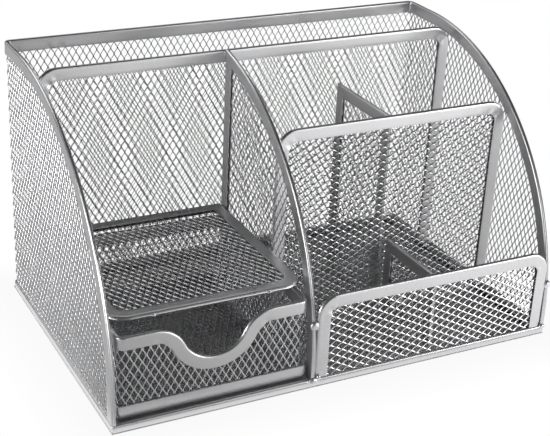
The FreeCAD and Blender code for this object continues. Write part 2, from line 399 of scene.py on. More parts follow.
def steps(length, step=STEP, least=1):
    """How many steps of about this size go into a length."""
    return max(int(round(length / step)), least)


def spread(start, end, count):
    """Evenly spread numbers from start towards end, without the end."""
    return np.linspace(start, end, count, endpoint=False)


def line(u, v):
    """Points from a list of numbers and one number, or from two lists."""
    return np.stack(np.broadcast_arrays(u, v), -1)


def arc(centre, radius, start, end, count=ARC_STEPS):
    """Points along an arc from one angle to another in degrees, without the end."""
    turn = np.radians(start + (end - start) * np.arange(count) / count)
    return np.array(centre) + radius * np.stack([np.cos(turn), np.sin(turn)], -1)


def chain(low, high, bends):
    """Numbers from low to high, evenly spread but close together in each bend."""
    stops = [low] + [edge for bend in bends for edge in bend] + [high]
    parts = []
    for i, (start, end) in enumerate(zip(stops, stops[1:])):
        in_bend = i % 2 == 1
        count = steps(end - start, FINE, BEND_STEPS) if in_bend else steps(end - start)
        parts.append(start + (end - start) * np.arange(count) / count)
    return np.concatenate(parts)


print("a quarter circle has", len(arc((0, 0), 1, 0, 90)), "points")

# %% [markdown]
# Two outlines serve most sheets: an arch, whose foot is open because it stands in the base, and a
# plate, which is closed. They could be typed in point by point, but an inset makes their corners
# tighter, and square once it is past the radius, so each is worked out anew.

# %% Arch and plate


def arch(left, right, foot, top, radius):
    """A panel's outline: up the left side, round both top corners and down the right."""
    count_up, count_over = steps(top - foot), steps(right - left)

    def outline(inset):
        r, near = max(radius - inset, 0.0), max(radius, inset)
        return np.concatenate([
            line(left + inset, spread(foot, top - near, count_up)),
            arc((left + near, top - near), r, 180, 90),
            line(spread(left + near, right - near, count_over), top - inset),
            arc((right - near, top - near), r, 90, 0),
            line(right - inset, np.linspace(top - near, foot, count_up + 1)),
        ])
    return outline


def plate(left, right, front, back, front_radius, back_radius):
    """A closed outline of a plate, with its own radius at the front and the back corners."""
    count_x, count_y = steps(right - left), steps(back - front)

    def outline(inset):
        a, b = max(front_radius, inset), max(back_radius, inset)
        ra, rb = max(front_radius - inset, 0.0), max(back_radius - inset, 0.0)
        return np.concatenate([
            line(spread(left + a, right - a, count_x), front + inset),
            arc((right - a, front + a), ra, -90, 0),
            line(right - inset, spread(front + a, back - b, count_y)),
            arc((right - b, back - b), rb, 0, 90),
            line(spread(right - b, left + b, count_x), back - inset),
            arc((left + b, back - b), rb, 90, 180),
            line(left + inset, spread(back - b, front + a, count_y)),
            arc((left + a, front + a), ra, 180, 270),
        ])
    return outline


print("a 100 mm square arch has", len(arch(0, 0.1, 0, 0.1, PANEL_CORNER)(0.0)), "points")

# %% [markdown]
# ## Folded strips
# Every edge of every sheet lies in a strip of steel that is folded over it: a U with a half round
# fold, a faint groove along its crown, and two legs whose cut edges lean in on the mesh. A
# bevelled curve could be that U, but its section is the same everywhere. Here the section is a
# list of points, each with its inset from the edge, so that the legs can wave and pucker.

# %% Strip section
FOLD_STEPS = 8
LEG_STEPS = 6
LEAN_IN = 0.12 * MM
GROOVE = 0.25 * MM


def fold_section():
    """The U of a folded strip as (inset, w) points: once round the outside and back inside."""
    half = THICK / 2
    inner = half - STRIP
    legs = np.linspace(LEG, half, LEG_STEPS, endpoint=False)
    turns = np.linspace(0, math.pi, FOLD_STEPS + 1)
    outside = [(x, half - LEAN_IN * (i == 0)) for i, x in enumerate(legs)]
    outside += [(half - half * math.sin(t) + GROOVE * (i == FOLD_STEPS // 2), half * math.cos(t))
                for i, t in enumerate(turns)]
    outside += [(x, -half + LEAN_IN * (i == 0)) for i, x in enumerate(legs)][::-1]
    inside = [(x, -inner) for x in legs]
    inside += [(half - inner * math.sin(t), -inner * math.cos(t)) for t in turns]
    inside += [(x, inner) for x in legs][::-1]
    return outside + inside


print("a strip has", len(fold_section()), "points round its section")

# %% [markdown]
# The section is carried along the outline. A strip is never quite flat, so its legs follow a slow,
# uneven wave. Round a tight corner its inner edge has metal to spare and puckers: small pleats
# stand beside dents. A pleat is a place on the drawing, its rise (below nought for a dent) and its
# reach.

# %% Carrying the section
RIPPLE = 0.07 * MM
WAVES = (0.31, 0.13)
WAVE_SLANT = 1.3
WAVE_SHIFT = 1.7


def ripple(u, v):
    """A slow, uneven wave from 0 to 1. The pace of its two parts is in radians per millimetre."""
    s = (u * WAVE_SLANT + v) / MM
    return 0.5 + 0.25 * np.sin(s * WAVES[0]) + 0.25 * np.sin(s * WAVES[1] + WAVE_SHIFT)


def ring_faces(rings, stations, closed):
    """The faces between each ring of points along the outline and the next one."""
    faces = []
    for i in range(rings):
        after = (i + 1) % rings
        for k in range(stations if closed else stations - 1):
            ahead = (k + 1) % stations
            faces.append((i * stations + k, i * stations + ahead,
                          after * stations + ahead, after * stations + k))
    return faces


def carry(section, outline, place, closed, pleats=()):
    """Points and faces of a section carried along an outline; an open strip gets its two ends."""
    rings = []
    for inset, w in section:
        u, v = outline(inset).T
        free = max(inset - THICK / 2, 0.0) / (LEG - THICK / 2)
        side = np.sign(w)
        depth = w - side * RIPPLE * free * ripple(u, v)
        for pu, pv, rise, reach in pleats:
            near = np.exp(-((u - pu) ** 2 + (v - pv) ** 2) / (2 * reach * reach))
            depth = depth + side * rise * free * near
        rings.append(place(u, v, depth))
    points = np.array(rings)
    count, stations = points.shape[:2]
    faces = ring_faces(count, stations, closed)
    if not closed:
        faces += [tuple(j * stations + k for j in (i, i + 1, count - 2 - i, count - 1 - i))
                  for k in (0, stations - 1) for i in range(count // 2 - 1)]
    return points.reshape(-1, 3), faces


def folded_strip(name, outline, place, body, nodes, closed=False, pleats=()):
    points, faces = carry(fold_section(), outline, place, closed, pleats)
    return make_piece(name, points, faces, strip_paint, body, nodes)


print("the legs wave by up to", round(RIPPLE / MM, 2), "mm")

# %% [markdown]
# ## Expanded metal
# Expanded metal is slit and pulled open, so it isn't woven. Every crossing is a short bond, two
# strands wide, and every strand runs from one edge of a bond to the other edge of the next. All
# are tilted out of the sheet like the slats of a blind, so one set of strands can look thick and
# bright and the other thin. A picture of holes, or a wireframe of diamonds, would lose that, so
# the mesh is built bond by bond, with four strands each.

# %% One bond
LONG_WAY = 6.05 * MM
SHORT_WAY = 3.44 * MM
STRAND = 0.56 * MM
GAUGE = 0.25 * MM
BOND = 0.9 * MM
CORNERS = 12


def bond_corners(slope):
    """The corners of each bond: two ends, three places across it and two faces."""
    turn = np.radians(slope)
    corners = []
    for end, k, side in np.ndindex(2, 3, 2):
        across, face = (k - 1) * STRAND, (side - 0.5) * GAUGE
        corners.append(np.stack([
            across * np.cos(turn) - face * np.sin(turn),
            np.full(turn.shape, (end - 0.5) * BOND),
            across * np.sin(turn) + face * np.cos(turn)], -1))
    return np.stack(corners, 1)


def at(end, k, side):
    """The number of a bond's corner."""
    return end * 6 + k * 2 + side


print("bond two strands wide:", round(2 * STRAND / MM, 2), "mm")

# %% [markdown]
# A bond is a short box. From each end two strands leave, one from each half of its width, and each
# lands on the other half of a bond in the next row. A loop could make them one by one, but a sheet
# has thousands, so arrays work out the faces of all bonds at once.

# %% All bonds and strands


def strand_faces(kept, number):
    """The faces of all bonds, of the strands between them, and of the cut ends."""
    def end_of(end, k):
        return [at(end, k, 0), at(end, k + 1, 0), at(end, k + 1, 1), at(end, k, 1)]

    patches = [[at(0, k, s), at(0, k + 1, s), at(1, k + 1, s), at(1, k, s)]
               for k in (0, 1) for s in (0, 1)]
    patches += [[at(0, k, 0), at(0, k, 1), at(1, k, 1), at(1, k, 0)] for k in (0, 2)]
    count = kept.sum()
    bonds = CORNERS * np.arange(count)[:, None]
    faces = [bonds + np.array(patch) for patch in patches]
    r, c = np.nonzero(kept)
    framed = np.pad(number, 1, constant_values=-1)
    for way in (0, 1):
        far = framed[r + 2, c + (r % 2) + way]
        joined = far >= 0
        k, m = (1, 0) if way else (0, 1)
        p, q = CORNERS * number[r, c][joined, None], CORNERS * far[joined, None]
        loop = ((k, 0), (k + 1, 0), (k + 1, 1), (k, 1))
        for (k0, s0), (k1, s1) in zip(loop, loop[1:] + loop[:1]):
            faces.append(np.concatenate([
                p + at(1, k0, s0), p + at(1, k1, s1),
                q + at(0, k1 + m - k, s1), q + at(0, k0 + m - k, s0)], 1))
        faces.append(CORNERS * number[r, c][~joined, None] + np.array(end_of(1, k)))
        reached = np.zeros(count, bool)
        reached[far[joined]] = True
        faces.append(CORNERS * np.nonzero(~reached)[0][:, None] + np.array(end_of(0, m)))
    return np.concatenate([f for f in faces if len(f)]).tolist()


def roll_edges(data):
    """Shading normals that follow the wide faces: a strand looks flat, with rolled edges."""
    count = len(data.polygons)
    faces, areas, corners = np.empty(count * 3), np.empty(count), np.empty(count * 4, int)
    data.polygons.foreach_get("normal", faces)
    data.polygons.foreach_get("area", areas)
    data.loops.foreach_get("vertex_index", corners)
    pull = np.repeat(faces.reshape(-1, 3) * areas[:, None], 4, 0)
    total = np.stack(
        [np.bincount(corners, pull[:, i], len(data.vertices)) for i in range(3)], -1)
    total /= np.linalg.norm(total, axis=1)[:, None]
    data.normals_split_custom_set_from_vertices(total.tolist())


print("a bond has", CORNERS, "corners")

# %% [markdown]
# A sheet is a field of bonds, half a step over in every other row, cut to the outline. A boolean
# would be slow and ragged, so a bond whose middle lies inside is kept whole. The long way of the
# diamonds runs up the sheet ("v") or along it ("u"). A sheet may be pulled a little wider than
# others, and lie a little askew.

# %% A sheet


def contains(polygon, u, v):
    """Which points lie inside a closed polygon."""
    inside = np.zeros(u.shape, bool)
    for (x0, y0), (x1, y1) in zip(polygon, np.roll(polygon, -1, 0)):
        if y0 == y1:
            continue
        crosses = (v < y0) != (v < y1)
        inside ^= crosses & (u < x0 + (v - y0) * (x1 - x0) / (y1 - y0))
    return inside


def expanded_metal(name, cut, place, body, nodes, slope, long_way="v", pulled=1.0, askew=0.0):
    """Bonds and strands inside the polygon cut. The slope is in degrees, or varies along u."""
    low, high = cut.min(0), cut.max(0)
    reach = np.linalg.norm(high - low) / 2
    short = SHORT_WAY * pulled
    half_rows, half_columns = int(reach / LONG_WAY * 2) + 1, int(reach / short) + 1
    row, column = np.mgrid[-half_rows:half_rows + 1, -half_columns:half_columns + 1]
    row = row + half_rows % 2
    a, b = (column + (row % 2) / 2) * short, row * LONG_WAY / 2
    if long_way == "u":
        a, b = b, a
    turn = np.array([[math.cos(askew), -math.sin(askew)], [math.sin(askew), math.cos(askew)]])
    centres = np.stack([a, b], -1) @ turn.T + (low + high) / 2
    kept = contains(cut, centres[..., 0], centres[..., 1])
    number = np.full(kept.shape, -1)
    number[kept] = np.arange(kept.sum())
    centre = centres[kept]
    corner = bond_corners(slope(centre[:, 0]) if callable(slope) else np.full(len(centre), slope))
    if long_way == "u":
        corner = corner[..., [1, 0, 2]]
    corner[..., :2] = corner[..., :2] @ turn.T + centre[:, None, :]
    points = place(*corner.reshape(-1, 3).T)
    faces = strand_faces(kept, number)
    piece = make_piece(name, points, faces, mesh_paint_painted_shade, body, nodes, sharp=False)
    roll_edges(piece.data)
    return piece


print("a diamond is", round(LONG_WAY / MM, 2), "by", round(SHORT_WAY / MM, 2), "mm")

# %% [markdown]
# ## The outer shell
# One sheet wraps the left side, the back and the right side. Its strip rises at the front, sweeps
# up over each side in a quarter circle and runs level along the back. Three walls could be made
# and joined, but the real one has no seam, so the whole edge is drawn flat and rolled.

# %% The shell's edge
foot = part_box("left_side_rim")[0].z
bend_start = 2 * half_depth - SHELL_BEND
bend_end = bend_start + (SHELL_BEND - THICK / 2) * math.pi / 2
SWEEP_STEPS = 44
UPRIGHT_STEPS = 3
NEAR_BEND = 5.0 * MM
HELD_ZONE = 30.0 * MM
FAR_ZONE = 8.0 * MM


def shell_outline(inset):
    """The shell's edge, drawn flat: up, over the left sweep, along the top and down again.
    The points stand close together round the bends and where the strip was held."""
    length = shell_wall.length
    level = chain(sweep_radius, length - sweep_radius, (
        (bend_start - NEAR_BEND, bend_end + HELD_ZONE),
        (length - bend_end - FAR_ZONE, length - bend_start + NEAR_BEND)))
    return np.concatenate([
        line(inset, spread(foot, SWEEP_UPRIGHT, UPRIGHT_STEPS)),
        arc((sweep_radius, SWEEP_UPRIGHT), sweep_radius - inset, 180, 90, SWEEP_STEPS),
        line(level, height - inset),
        arc((length - sweep_radius, SWEEP_UPRIGHT), sweep_radius - inset, 90, 0, SWEEP_STEPS),
        line(length - inset, np.linspace(SWEEP_UPRIGHT, foot, UPRIGHT_STEPS + 1)),
    ])


print("the sweep's radius is", round(sweep_radius / MM, 1), "mm")

# %% [markdown]
# Bending the strip round the back corners creases its legs there, and two creases on the back show
# where it was held. The slats face another way on each wall, so their slope changes at the
# corners.

# %% The shell
EDGE = 1.2 * MM
SUNK = 2.5 * MM
LEFT_SLOPE, BACK_SLOPE, RIGHT_SLOPE = 28.0, 43.0, -8.0
CORNER_CREASES = ((-3.0, -0.3), (-1.0, 0.25), (3.5, 0.3), (6.0, -0.3))
HELD_CREASES = ((18.0, -0.3), (20.5, 0.25), (24.0, -0.3), (26.0, 0.25))
ON_LEG, CORNER_REACH = 1.0 * MM, 1.2 * MM
HELD_ON_LEG, HELD_REACH = 1.5 * MM, 1.1 * MM


def sunk(cut):
    """The same cut with its foot let down into the base, where the ragged ends are hidden."""
    drop = np.array([0.0, SUNK])
    return np.vstack([cut[:1] - drop, cut, cut[-1:] - drop])


def shell_slope(u):
    """The slats lean gently on the left side, stand steep along the back and turn on the right."""
    turns = (bend_start, bend_end, shell_wall.length - bend_end, shell_wall.length - bend_start)
    return np.interp(u, turns, (LEFT_SLOPE, BACK_SLOPE, BACK_SLOPE, RIGHT_SLOPE))


def shell_pleats():
    """Creases near the bends and where the strip was held: how far along, and how high, in mm."""
    leg_edge = height - LEG
    found = []
    for corner, way in ((bend_start, 1), (shell_wall.length - bend_start, -1)):
        for along, lift in CORNER_CREASES:
            u = corner + way * along * MM
            found.append((u, leg_edge + ON_LEG, lift * MM, CORNER_REACH))
    for along, lift in HELD_CREASES:
        found.append((bend_end + along * MM, leg_edge + HELD_ON_LEG, lift * MM, HELD_REACH))
    return found


folded_strip("shell_strip", shell_outline, shell_wall.place, "organizer",
             ["left_side_rim", "back_top_rim", "right_side_rim"], pleats=shell_pleats())
expanded_metal("shell_mesh", sunk(shell_outline(EDGE)), shell_wall.place, "organizer",
               ["left_side_mesh", "back_mesh", "right_side_mesh"], shell_slope)

# %% [markdown]
# ## The panels across the width
# Three panels stand across the width: a tall one in front of the letter slot, one between the rows
# of pen bays, and a low one at the front. Each is an arch of strip, pinched at its top corners,
# round a flat sheet. They could be copies of one, but their meshes differ, so one function makes
# each from its box in the imported frame. In the photograph the front panel stands a little further
# forward and higher than in the solids, and the dress follows the photograph.

# %% Panels across the width
CORNER_PLEATS = ((0.12, 1.0), (0.42, -0.8), (0.66, 0.7), (0.95, -0.6))
PLEAT_RISE = 0.45 * MM
PLEAT_REACH = 1.1 * MM
PANEL_FORWARD = 2.2 * MM
PANEL_RAISED = 1.4 * MM


def corner_pleats(left, right, top, radius):
    """Two pleats and two dents at the inner edge of each top corner of a panel."""
    found = []
    reach = radius - LEG + ON_LEG
    for x, way in ((left, 1), (right, -1)):
        for share, lift in CORNER_PLEATS:
            turn = share * math.pi / 2
            u = x + way * (radius - reach * math.cos(turn))
            v = top - radius + reach * math.sin(turn)
            found.append((u, v, lift * PLEAT_RISE, PLEAT_REACH))
    return found


def standing_panel(name, outline, place, slope, long_way="v", pulled=1.0, askew=0.0, pleats=()):
    """A strip and its sheet of mesh, which stand in the base."""
    folded_strip(name + "_strip", outline, place, "organizer", [name + "_frame"], pleats=pleats)
    expanded_metal(name + "_sheet", sunk(outline(EDGE)), place, "organizer", [name + "_mesh"],
                   slope, long_way, pulled, math.radians(askew))


def arch_panel(name, slope, long_way, pulled, askew=0.0, forward=0.0, raised=0.0):
    """A panel across the width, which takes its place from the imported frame."""
    low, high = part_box(name + "_frame")
    top = high.z + raised
    outline = arch(low.x, high.x, low.z, top, PANEL_CORNER)
    standing_panel(name, outline, across_at((low.y + high.y) / 2 - forward), slope, long_way,
                   pulled, askew, corner_pleats(low.x, high.x, top, PANEL_CORNER))


arch_panel("inner_back", slope=44.0, long_way="v", pulled=1.07)
arch_panel("middle_panel", slope=38.0, long_way="u", pulled=1.055, askew=-1.3)
arch_panel("front_panel", slope=25.0, long_way="u", pulled=1.11, askew=3.7,
           forward=PANEL_FORWARD, raised=PANEL_RAISED)

# %% [markdown]
# ## The partitions
# Each row of pen bays is split by a low wall from panel to panel. Its corners are square, so an
# arch with no radius serves. The front one reaches as far forward as the front panel.

# %% Partitions


def partition(name, forward=0.0):
    """A low wall along the depth, with square corners."""
    low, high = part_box(name + "_frame")
    outline = arch(low.y - forward, high.y, low.z, high.z, 0.0)
    standing_panel(name, outline, along_at((low.x + high.x) / 2), slope=15.0,
                   pulled=1.05)


partition("rear_partition")
partition("front_partition", PANEL_FORWARD)

# %% [markdown]
# ## The divider
# The divider parts the drawer's side from the pen bays. It has the sides' sweep at its front, but
# stops at the inner back panel, where its strip runs down as a post. A copy of the shell's side
# would lack the post, so its outline is drawn anew.

# %% Divider
divider_low, divider_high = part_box("divider_frame")
POST_STEPS = 30


def divider_outline(inset):
    """Up the rear post, over the sweep from where it meets the post, and down the front."""
    radius = sweep_radius - inset
    centre = half_depth - SWEEP_LEVEL
    rear = divider_high.y - inset
    start = math.asin((centre - rear) / radius)
    top = SWEEP_UPRIGHT + radius * math.cos(start)
    return np.concatenate([
        line(rear, spread(foot, top, POST_STEPS)),
        arc((centre, SWEEP_UPRIGHT), radius, 90 + math.degrees(start), 180, SWEEP_STEPS),
        line(inset - half_depth, np.linspace(SWEEP_UPRIGHT, foot, UPRIGHT_STEPS + 1)),
    ])


divider_x = (divider_low.x + divider_high.x) / 2
standing_panel("divider", divider_outline, along_at(divider_x), slope=15.0)

# %% [markdown]
# ## The shelf
# The shelf over the drawer is a plate with a strip all round, its front corners round and its back
# corners square. Its strip is the same U, but closed, so it has no ends.

# %% Shelf
shelf_low, shelf_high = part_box("shelf_frame")
shelf_outline = plate(shelf_low.x, shelf_high.x, shelf_low.y, shelf_high.y, PANEL_CORNER, 0.0)
shelf_place = lying_at((shelf_low.z + shelf_high.z) / 2)
folded_strip("shelf_strip", shelf_outline, shelf_place, "organizer", ["shelf_frame"], closed=True)
expanded_metal("shelf_sheet", shelf_outline(EDGE), shelf_place, "organizer", ["shelf_mesh"],
               slope=45.0)

# %% [markdown]
# ## The base
# The organizer stands on a mesh floor in a deeper channel, whose outer face shows below the walls.
# Its top edge is rolled to a small lip with a groove under it, and the walls stand on a ledge
# behind the lip. A bevelled box would show none of these, so the channel has a section of its own,
# carried round the plan.

# %% Base
BASE_ROUND = 0.8 * MM
BASE_CORNER = 1.0 * MM
LEDGE_SINK = 0.6 * MM
LIP = 0.5 * MM
LIP_BACK = 0.8 * MM
CREASE_DROP = 0.3 * MM
CREASE_HALF = 0.15 * MM
QUARTER = np.linspace(0, math.pi / 2, 5)


def rolled_foot(turn):
    """The rounded lower edge of a channel, from its floor to its outer face."""
    return [(turn - turn * math.sin(t), turn - turn * math.cos(t)) for t in QUARTER]


def base_section(top, turn):
    """The base's section as (inset, z): a deep channel with a rolled lip and a groove below it."""
    ledge, crease = top - LEDGE_SINK, top - turn - CREASE_DROP
    behind_lip = turn + LIP_BACK
    section = [(LEG, 0.0)] + rolled_foot(turn)
    section += [(0.0, crease - CREASE_HALF), (GROOVE, crease), (0.0, crease + CREASE_HALF)]
    section += [(turn - turn * math.cos(t), top - turn + turn * math.sin(t)) for t in QUARTER]
    section += [(turn + LIP, top), (behind_lip, ledge), (LEG, ledge), (LEG, ledge - STRIP)]
    section += [(behind_lip, ledge - STRIP), (STRIP, top - 2 * STRIP)]
    section += [(STRIP, STRIP * 2), (STRIP * 2, STRIP), (LEG, STRIP)]
    return section


def channel(name, section, outline, level, body, nodes):
    """A closed channel: its (inset, height) section is carried round a level outline."""
    place = lying_at(level)
    points = np.array([place(*outline(inset).T, z) for inset, z in section])
    faces = ring_faces(*points.shape[:2], True)
    make_piece(name, points.reshape(-1, 3), faces, strip_paint, body, nodes)


base_plan = plate(-half_width, half_width, -half_depth, half_depth, BASE_CORNER, SHELL_BEND)
channel("base_strip", base_section(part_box("base_rim")[1].z, BASE_ROUND), base_plan, 0.0,
        "organizer", ["base_rim"])
base_low, base_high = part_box("base_mesh")
expanded_metal("base_sheet", base_plan(EDGE), lying_at((base_low.z + base_high.z) / 2),
               "organizer", ["base_mesh"], slope=22.0)

# %% [markdown]
# ## The drawer's wall
# The wall of the drawer is one sheet, bent round four corners. Four plates would leave gaps there,
# so it is rolled along a path like the shell, from the middle of the rear, where nobody sees its
# ends meet.

# %% The drawer's plan
DRAWER_CORNER = 4.0 * MM
drawer_low, foot_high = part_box("drawer_foot_rim")
drawer_high = Vector((foot_high.x, foot_high.y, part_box("drawer_front_rim")[1].z))
flat_width = drawer_high.x - drawer_low.x - 2 * DRAWER_CORNER
flat_depth = drawer_high.y - drawer_low.y - 2 * DRAWER_CORNER
bend_radius = DRAWER_CORNER - THICK / 2
quarter_turn = bend_radius * math.pi / 2
drawer_wall = Wall(((drawer_low.x + drawer_high.x) / 2, drawer_high.y - THICK / 2), 0.0)
drawer_wall.straight(flat_width / 2).bend(bend_radius).straight(flat_depth).bend(bend_radius)
drawer_wall.straight(flat_width).bend(bend_radius).straight(flat_depth).bend(bend_radius)
drawer_wall.straight(flat_width / 2)
front_middle = drawer_wall.length / 2
print("drawer wall", round(drawer_wall.length / MM, 1), "mm long")

# %% [markdown]
# The strip on its top edge dips at the front in two S curves, the scoop by which a finger pulls
# the drawer. Each S is two equal arcs that meet where they run the same way. A boolean could cut
# the scoop out, but the strip has to follow it, so it is part of the outline.

# %% The drawer's top edge
SCOOP_HALF_WIDTH = 27.5 * MM
SCOOP_DEPTH = 17.5 * MM
scoop_turn = 2 * math.atan(SCOOP_DEPTH / SCOOP_HALF_WIDTH)
scoop_radius = SCOOP_HALF_WIDTH / math.sin(scoop_turn) / 2


def drawer_edge(inset):
    """The wall's top edge drawn flat: level round three sides, with the scoop in the front."""
    top = drawer_high.z - inset
    bends = []
    along = flat_width / 2
    for straight in (flat_depth, flat_width, flat_depth, 0.0):
        bends.append((along, along + quarter_turn))
        along += quarter_turn + straight
    left, right = front_middle - SCOOP_HALF_WIDTH, front_middle + SCOOP_HALF_WIDTH
    before = chain(0.0, left, bends[:2])
    after = np.append(chain(right, drawer_wall.length, bends[2:]), drawer_wall.length)
    degrees = math.degrees(scoop_turn)
    shoulder, bowl = scoop_radius - inset, scoop_radius + inset
    shoulder_v = drawer_high.z - scoop_radius
    bowl_v = drawer_high.z - SCOOP_DEPTH + scoop_radius
    return np.concatenate([
        line(before, top),
        arc((left, shoulder_v), shoulder, 90, 90 - degrees),
        arc((front_middle, bowl_v), bowl, 270 - degrees, 270 + degrees, 2 * ARC_STEPS),
        arc((right, shoulder_v), shoulder, 90 + degrees, 90),
        line(after, top),
    ])


print("scoop arcs of", round(scoop_radius / MM, 1), "mm, each", round(math.degrees(scoop_turn)),
      "degrees")

# %% [markdown]
# Where the strip turns down into the scoop its lower edge is squeezed, so each shoulder has a dent
# with a small pleat on either side. The mesh is cut just above the foot.

# %% Drawer wall
SCOOP_PLEATS = ((0.05, 0.3), (0.3, -0.6), (0.55, 0.3))
SCOOP_PLEAT_REACH = 1.6 * MM


def scoop_pleats():
    """Pleats and dents of both shoulders: the share of the turn, and how high, in mm."""
    found = []
    reach = scoop_radius - LEG
    for way in (-1, 1):
        for share, lift in SCOOP_PLEATS:
            turn = share * scoop_turn
            u = front_middle + way * (SCOOP_HALF_WIDTH - reach * math.sin(turn))
            v = drawer_high.z - scoop_radius + reach * math.cos(turn)
            found.append((u, v, lift * MM, SCOOP_PLEAT_REACH))
    return found


folded_strip("drawer_strip", drawer_edge, drawer_wall.place, "drawer",
             ["drawer_front_rim", "drawer_left_rim", "drawer_right_rim", "drawer_rear_rim"],
             pleats=scoop_pleats())
wall_foot = drawer_low.z + STRIP
drawer_cut = np.concatenate([
    drawer_edge(EDGE), [[drawer_wall.length, wall_foot], [0.0, wall_foot]]])
expanded_metal("drawer_wall_mesh", drawer_cut, drawer_wall.place, "drawer",
               ["drawer_front_mesh", "drawer_left_mesh", "drawer_right_mesh",
                "drawer_rear_mesh"], slope=8.0, pulled=1.055)

# %% [markdown]
# ## The drawer's foot
# A strip is folded up round the drawer's foot like an L: one leg stands outside the wall and the
# other lies under the floor. It is a channel like the base's, but low and with a plain top edge.
# The floor is a sheet of its own that lies on the lower leg.

# %% Drawer foot and floor
FOOT_CORNER = 1.5 * MM
FLOOR_EDGE = 2.0 * MM
ROUND_IN, ROUND_DOWN = 0.15 * MM, 0.1 * MM


def foot_section(turn):
    """The foot strip's section as (inset, height)."""
    section = [(LEG, 0.0)] + rolled_foot(turn)
    section += [(0.0, LEG - ROUND_DOWN), (ROUND_IN, LEG), (STRIP, LEG)]
    section += [(STRIP, STRIP * 2), (STRIP * 2, STRIP), (LEG, STRIP)]
    return section


drawer_plan = plate(drawer_low.x, drawer_high.x, drawer_low.y, drawer_high.y,
                    FOOT_CORNER, DRAWER_CORNER)
channel("drawer_foot_strip", foot_section(BASE_ROUND), drawer_plan, drawer_low.z,
        "drawer", ["drawer_foot_rim"])
floor_low, floor_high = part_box("drawer_floor_mesh")
expanded_metal("drawer_floor_sheet", drawer_plan(FLOOR_EDGE),
               lying_at((floor_low.z + floor_high.z) / 2), "drawer",
               ["drawer_floor_mesh"], slope=-20.0)

# %% [markdown]
# ## Welds
# The divider and the right side are welded to the front panel and the base, and two nubs sit under
# the shelf's front edge. A weld shows as a small bright bead, or two or three that ran together.
# Metaballs would melt together too smoothly, so each lump is a ball of its own, drawn out of round,
# dimpled where it cooled, and half sunk in the fold.

# %% One weld
LUMP_CORE = 0.94
LUMP_SWELL = 0.06
SWELL_ACROSS, SWELL_SHIFT, SWELL_UP = 5, 2, 4
LUMP_DIMPLE = 0.10
DIMPLE_TIGHTNESS = 12
SEATED = 0.3 * MM


def sweep_edge(z):
    """Where the swept front edge stands at a height."""
    above = max(z - SWEEP_UPRIGHT, 0.0)
    return half_depth - SWEEP_LEVEL - math.sqrt(sweep_radius ** 2 - above ** 2)


def spot(x, z):
    """A point just inside the swept front edge, where a lump sits half sunk in the fold."""
    return (x, max(sweep_edge(z), -half_depth) + SEATED, z)


def weld(name, *lumps):
    """A weld: each lump is a centre and three half sizes in millimetres."""
    shape = bmesh.new()
    for centre, size in lumps:
        made = bmesh.ops.create_icosphere(shape, subdivisions=3, radius=1.0)
        for point in made["verts"]:
            way = point.co.normalized()
            bulge = math.sin(SWELL_ACROSS * way.x + SWELL_SHIFT) * math.sin(SWELL_UP * way.z)
            swell = (LUMP_CORE + LUMP_SWELL * bulge
                     - LUMP_DIMPLE * max(-way.y, 0.0) ** DIMPLE_TIGHTNESS)
            point.co = Vector([c * s * MM * swell + m for c, s, m in zip(way, size, centre)])
    data = bpy.data.meshes.new(name)
    shape.to_mesh(data)
    shape.free()
    data.polygons.foreach_set("use_smooth", [True] * len(data.polygons))
    wear(name, data, weld_paint_painted_light, "organizer")


print("30 mm up, the swept edge is at", round(sweep_edge(30 * MM) / MM, 1), "mm")

# %% [markdown]
# The lumps are listed: each row is a weld on a swept edge, and each of its lumps gives, in
# millimetres, how far it sits across from the edge's middle, how high, and its half sizes.

# %% Welds
right_x = half_width - THICK / 2
EDGE_WELDS = (
    ("weld_divider_high", divider_x, (
        (0.1, 30.0, (2.4, 1.6, 2.5)), (2.7, 28.9, (1.0, 1.0, 1.7)))),
    ("weld_divider_low", divider_x, (
        (0.1, 2.8, (2.5, 1.5, 2.3)), (-2.2, 3.1, (0.9, 0.9, 1.0)), (2.6, 4.3, (1.2, 1.1, 1.6)))),
    ("weld_right_high", right_x, ((-0.2, 26.0, (2.1, 1.5, 2.1)),)),
    ("weld_right_low", right_x, ((-0.4, 3.8, (1.7, 1.2, 1.5)),)),
)
for label, edge, lumps in EDGE_WELDS:
    weld(label, *((spot(edge + across * MM, up * MM), size) for across, up, size in lumps))

SHELF_WELDS = (("weld_shelf_left", -88.0 * MM), ("weld_shelf_right", -35.0 * MM))
SHELF_LUMP = (1.0, 0.8, 0.8)
SHELF_LUMP_UP = 0.5 * MM
for label, x in SHELF_WELDS:
    weld(label, ((x, shelf_low.y + SEATED, shelf_low.z + SHELF_LUMP_UP), SHELF_LUMP))
print("welds made:", len(EDGE_WELDS) + len(SHELF_WELDS))

# %% [markdown]
# ## The floor
# The photograph has a white ground. More light would make the floor white, but would wash out the
# object too. So the floor is a pale sheet that takes the soft shadow, mixed with a white glow that
# only the camera and mirror rays see. The glow grows away from the object, where the shadow ends.

# %% How far from the object
GLOW_REACH = 30.0 * MM
GLOW_START = 0.92


def away_from_object(pale, across, back):
    """The distance from the object's footprint, which is nought under it."""
    beyond = [pale.math("MAXIMUM", pale.math("ABSOLUTE", along) - half, 0.0)
              for along, half in ((across, half_width), (back, half_depth))]
    return pale.math("SQRT", beyond[0] * beyond[0] + beyond[1] * beyond[1])


print("the glow is whole", round(GLOW_REACH / MM), "mm away")

# %% [markdown]
# What the metal mirrors is not even: by its shine, the ground is brighter to the right than to the
# left, brightest close to the object, and dim behind it. Cards round the object could do that, but
# they would show, so sums of places paint this light and shade into the glow that mirror rays alone
# see.

# %% The ground in the mirror
NEAR_REACH = 12.0 * MM
NEAR_MOST = 1.4
GROUND_MIDDLE = 0.75
GROUND_SLOPE = 4.0
GROUND_LEAST = 0.5
GROUND_MOST = 1.15
DIM_REACH = 60.0 * MM
DIM_BEHIND = 0.85


